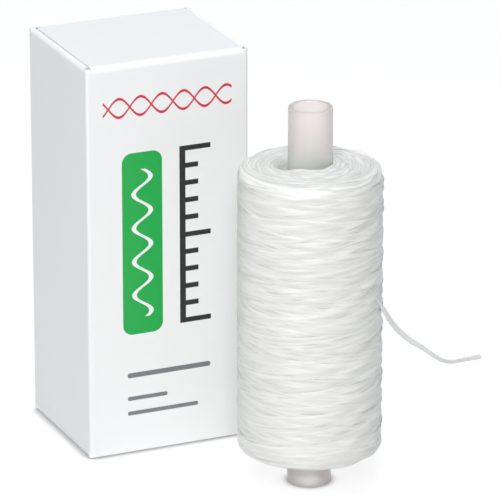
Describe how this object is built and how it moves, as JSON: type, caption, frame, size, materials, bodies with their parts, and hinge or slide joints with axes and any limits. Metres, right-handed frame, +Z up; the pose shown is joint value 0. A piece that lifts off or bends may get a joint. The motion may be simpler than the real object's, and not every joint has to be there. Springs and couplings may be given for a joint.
{
  "type": "dental floss dispenser",
  "caption": "Dental floss refill: tuck-end paperboard carton with hinged lids and flaps, and a cross-wound floss spool on a plastic core tube with a loose tail.",
  "frame": {"origin": "On the surface that the carton and the spool stand on, at the centre of their joint bounding box without the loose floss tail", "axes": "+Z up along the carton's height and the spool's axis, -Y out of the carton's front panel, +X to the right when facing the front panel"},
  "size_m": [0.0693, 0.0759, 0.086],
  "materials": {
    "board": "satin",
    "glue": "satin",
    "tube_plastic": "satin",
    "floss": "satin"
  },
  "bodies": {
    "carton": {"carton_sleeve": "board", "side_seam_glue": "glue"},
    "top_lid": {"top_lid": "board"},
    "top_tuck_flap": {"top_tuck_flap": "board"},
    "top_dust_flap_left": {"top_dust_flap_left": "board"},
    "top_dust_flap_right": {"top_dust_flap_right": "board"},
    "bottom_lid": {"bottom_lid": "board"},
    "bottom_tuck_flap": {"bottom_tuck_flap": "board"},
    "bottom_dust_flap_left": {"bottom_dust_flap_left": "board"},
    "bottom_dust_flap_right": {"bottom_dust_flap_right": "board"},
    "spool": {"core_tube": "tube_plastic", "floss_inner_layers": "floss", "floss_outer_winding": "floss", "floss_tail": "floss"}
  },
  "joints": [
    {"name": "top_lid_hinge", "type": "hinge", "parent": "carton", "child": "top_lid", "pos_m": [-0.0081, 0.00685, 0.086], "axis": [1, 0, 0], "range_deg": [0, 150]},
    {"name": "top_tuck_hinge", "type": "hinge", "parent": "top_lid", "child": "top_tuck_flap", "pos_m": [-0.0081, 0.03655, 0.0851], "axis": [1, 0, 0], "range_deg": [0, 30]},
    {"name": "top_dust_left_hinge", "type": "hinge", "parent": "carton", "child": "top_dust_flap_left", "pos_m": [-0.0253, 0.02155, 0.08525], "axis": [0, -1, 0], "range_deg": [0, 75]},
    {"name": "top_dust_right_hinge", "type": "hinge", "parent": "carton", "child": "top_dust_flap_right", "pos_m": [0.0091, 0.02155, 0.08525], "axis": [0, 1, 0], "range_deg": [0, 75]},
    {"name": "bottom_lid_hinge", "type": "hinge", "parent": "carton", "child": "bottom_lid", "pos_m": [-0.0081, 0.03625, 0], "axis": [1, 0, 0], "range_deg": [0, 150]},
    {"name": "bottom_tuck_hinge", "type": "hinge", "parent": "bottom_lid", "child": "bottom_tuck_flap", "pos_m": [-0.0081, 0.00655, 0.0009], "axis": [1, 0, 0], "range_deg": [0, 30]},
    {"name": "bottom_dust_left_hinge", "type": "hinge", "parent": "carton", "child": "bottom_dust_flap_left", "pos_m": [-0.0253, 0.02155, 0.00075], "axis": [0, 1, 0], "range_deg": [0, 75]},
    {"name": "bottom_dust_right_hinge", "type": "hinge", "parent": "carton", "child": "bottom_dust_flap_right", "pos_m": [0.0091, 0.02155, 0.00075], "axis": [0, -1, 0], "range_deg": [0, 75]},
    {"name": "spool_spin", "type": "hinge", "parent": "carton", "child": "spool", "pos_m": [0.0113, -0.02245, 0], "axis": [0, 0, 1], "range_deg": [-200, 115]}
  ],
  "couplings": [
    {"joint": "top_tuck_hinge", "follows": "top_lid_hinge", "ratio": 0.2},
    {"joint": "top_dust_left_hinge", "follows": "top_lid_hinge", "ratio": 0.5},
    {"joint": "top_dust_right_hinge", "follows": "top_lid_hinge", "ratio": 0.5},
    {"joint": "bottom_tuck_hinge", "follows": "bottom_lid_hinge", "ratio": 0.2},
    {"joint": "bottom_dust_left_hinge", "follows": "bottom_lid_hinge", "ratio": 0.5},
    {"joint": "bottom_dust_right_hinge", "follows": "bottom_lid_hinge", "ratio": 0.5}
  ]
}
